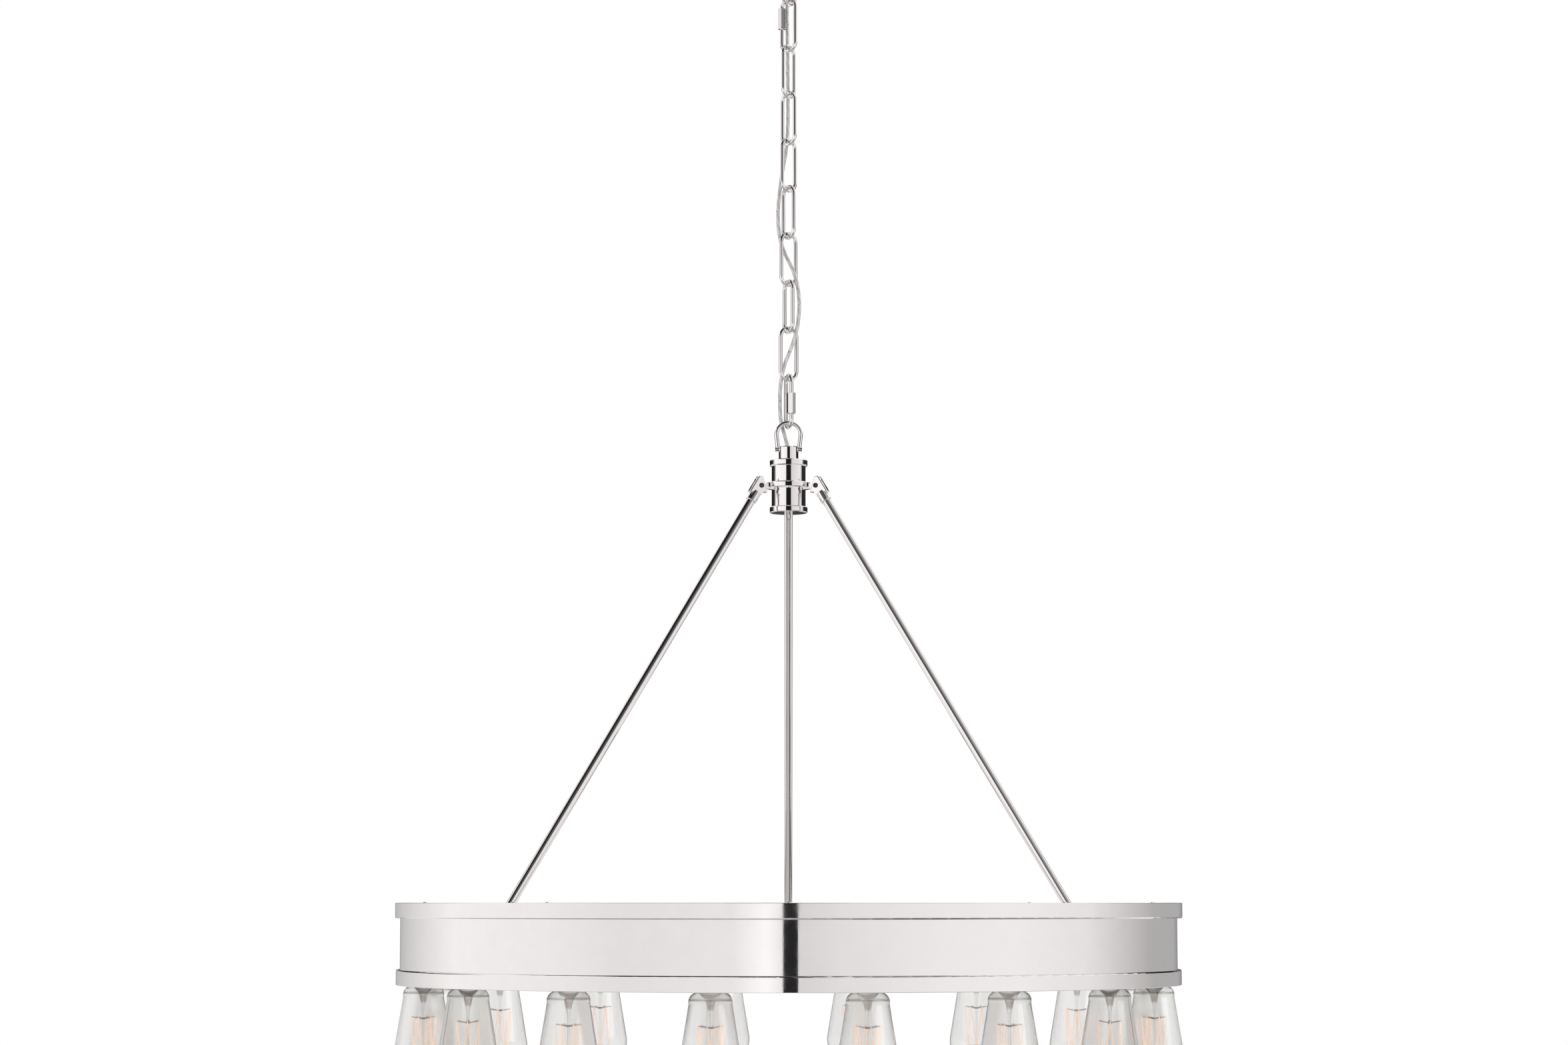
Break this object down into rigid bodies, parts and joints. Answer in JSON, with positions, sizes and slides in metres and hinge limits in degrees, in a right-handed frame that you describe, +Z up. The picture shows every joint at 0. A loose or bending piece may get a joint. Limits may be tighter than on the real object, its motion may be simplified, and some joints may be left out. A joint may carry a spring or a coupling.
{
  "type": "ring chandelier",
  "caption": "Polished metal ring chandelier: a deep band with raised edges holds clear lamps that point down, hung on slender rods from a hub, a chain and a ceiling canopy.",
  "frame": {"origin": "centre of the bracket's upper face, in the ceiling plane", "axes": "+Z up into the ceiling, the front without a rod faces -Y, +X to the right"},
  "size_m": [0.758, 0.758, 1.1198],
  "materials": {
    "polished_nickel": "polished",
    "plated_steel": "plated",
    "dark_screw": "blackened",
    "ground_brass": "plain",
    "clear_cord": "clear over silver",
    "wire_cover": "plain",
    "lampholder": "glazed",
    "cap_insulator": "glossy",
    "lamp_glass": "clear",
    "stem_glass": "clear",
    "support_wire": "dull",
    "filament": "dull"
  },
  "bodies": {
    "ceiling_mount": {"ceiling_bracket": "plated_steel", "canopy": "polished_nickel", "canopy_loop": "polished_nickel", "canopy_nipple": "plated_steel", "canopy_locknut": "plated_steel", "ground_screw": "ground_brass", "lamp_cord": "clear_cord"},
    "upper_quick_link": {"upper_quick_link": "polished_nickel"},
    "chain_link_1": {"chain_link_1": "polished_nickel"},
    "chain_link_2": {"chain_link_2": "polished_nickel"},
    "chain_link_3": {"chain_link_3": "polished_nickel"},
    "chain_link_4": {"chain_link_4": "polished_nickel"},
    "chain_link_5": {"chain_link_5": "polished_nickel"},
    "chain_link_6": {"chain_link_6": "polished_nickel"},
    "chain_link_7": {"chain_link_7": "polished_nickel"},
    "lower_quick_link": {"lower_quick_link": "polished_nickel"},
    "upper_sleeve": {"upper_quick_link_sleeve": "polished_nickel"},
    "lower_sleeve": {"lower_quick_link_sleeve": "polished_nickel"},
    "fixture": {"back_rod": "polished_nickel", "bulb_caps": "ground_brass", "bulb_filaments": "filament", "bulb_glass": "lamp_glass", "bulb_insulators": "cap_insulator", "bulb_stems": "stem_glass", "bulb_supports": "support_wire", "bulb_tips": "ground_brass", "cover_posts": "plated_steel", "cover_screws": "polished_nickel", "hub_connectors": "wire_cover", "hub_locknut": "plated_steel", "hub_loop": "polished_nickel", "hub_lower_cup": "polished_nickel", "hub_nipple": "plated_steel", "hub_spider": "polished_nickel", "hub_upper_cup": "polished_nickel", "inner_band": "polished_nickel", "lamp_leads": "wire_cover", "left_rod": "polished_nickel", "lower_bead": "polished_nickel", "lower_knuckles": "polished_nickel", "lower_pivot_screws": "dark_screw", "lug_screws": "polished_nickel", "outer_band": "polished_nickel", "post_screws": "plated_steel", "right_rod": "polished_nickel", "ring_cover": "polished_nickel", "ring_wires": "wire_cover", "rod_lead": "clear_cord", "rod_lugs": "polished_nickel", "socket_bodies": "lampholder", "socket_contacts": "ground_brass", "socket_nipples": "plated_steel", "socket_nuts": "plated_steel", "socket_plate": "plated_steel", "socket_shells": "ground_brass", "upper_bead": "polished_nickel", "upper_knuckles": "polished_nickel", "upper_pivot_screws": "dark_screw"}
  },
  "joints": [
    {"name": "swing_1", "type": "hinge", "parent": "ceiling_mount", "child": "upper_quick_link", "pos_m": [0, 0, -0.0606], "axis": [0.8192, -0.5736, 0], "range_deg": [-12, 12], "deforming": ["lamp_cord"]},
    {"name": "swing_2", "type": "hinge", "parent": "upper_quick_link", "child": "chain_link_1", "pos_m": [0, 0, -0.1077], "axis": [0.6361, 0.7716, 0], "range_deg": [-12, 12], "deforming": ["lamp_cord"]},
    {"name": "swing_3", "type": "hinge", "parent": "chain_link_1", "child": "chain_link_2", "pos_m": [0, 0, -0.1547], "axis": [-0.7193, 0.6947, 0], "range_deg": [-12, 12], "deforming": ["lamp_cord"]},
    {"name": "swing_4", "type": "hinge", "parent": "chain_link_2", "child": "chain_link_3", "pos_m": [0, 0, -0.2017], "axis": [-0.749, -0.6626, 0], "range_deg": [-12, 12], "deforming": ["lamp_cord"]},
    {"name": "swing_5", "type": "hinge", "parent": "chain_link_3", "child": "chain_link_4", "pos_m": [0, 0, -0.2487], "axis": [0.6018, -0.7986, 0], "range_deg": [-12, 12], "deforming": ["lamp_cord"]},
    {"name": "swing_6", "type": "hinge", "parent": "chain_link_4", "child": "chain_link_5", "pos_m": [0, 0, -0.2957], "axis": [0.8434, 0.5373, 0], "range_deg": [-12, 12], "deforming": ["lamp_cord"]},
    {"name": "swing_7", "type": "hinge", "parent": "chain_link_5", "child": "chain_link_6", "pos_m": [0, 0, -0.3427], "axis": [-0.4695, 0.8829, 0], "range_deg": [-12, 12], "deforming": ["lamp_cord"]},
    {"name": "swing_8", "type": "hinge", "parent": "chain_link_6", "child": "chain_link_7", "pos_m": [0, 0, -0.3897], "axis": [-0.9171, -0.3987, 0], "range_deg": [-12, 12], "deforming": ["lamp_cord"]},
    {"name": "swing_9", "type": "hinge", "parent": "chain_link_7", "child": "lower_quick_link", "pos_m": [0, 0, -0.4366], "axis": [0.3256, -0.9455, 0], "range_deg": [-12, 12], "deforming": ["lamp_cord"]},
    {"name": "fixture_turn", "type": "hinge", "parent": "lower_quick_link", "child": "fixture", "pos_m": [0, 0, -0.4835], "axis": [0, 0, 1], "range_deg": [-20, 20], "deforming": ["lamp_cord"]},
    {"name": "upper_sleeve_slide", "type": "slide", "parent": "upper_quick_link", "child": "upper_sleeve", "axis": [0, 0, -1], "range_m": [0, 0.0096]},
    {"name": "lower_sleeve_slide", "type": "slide", "parent": "lower_quick_link", "child": "lower_sleeve", "axis": [0, 0, 1], "range_m": [0, 0.0096]}
  ]
}
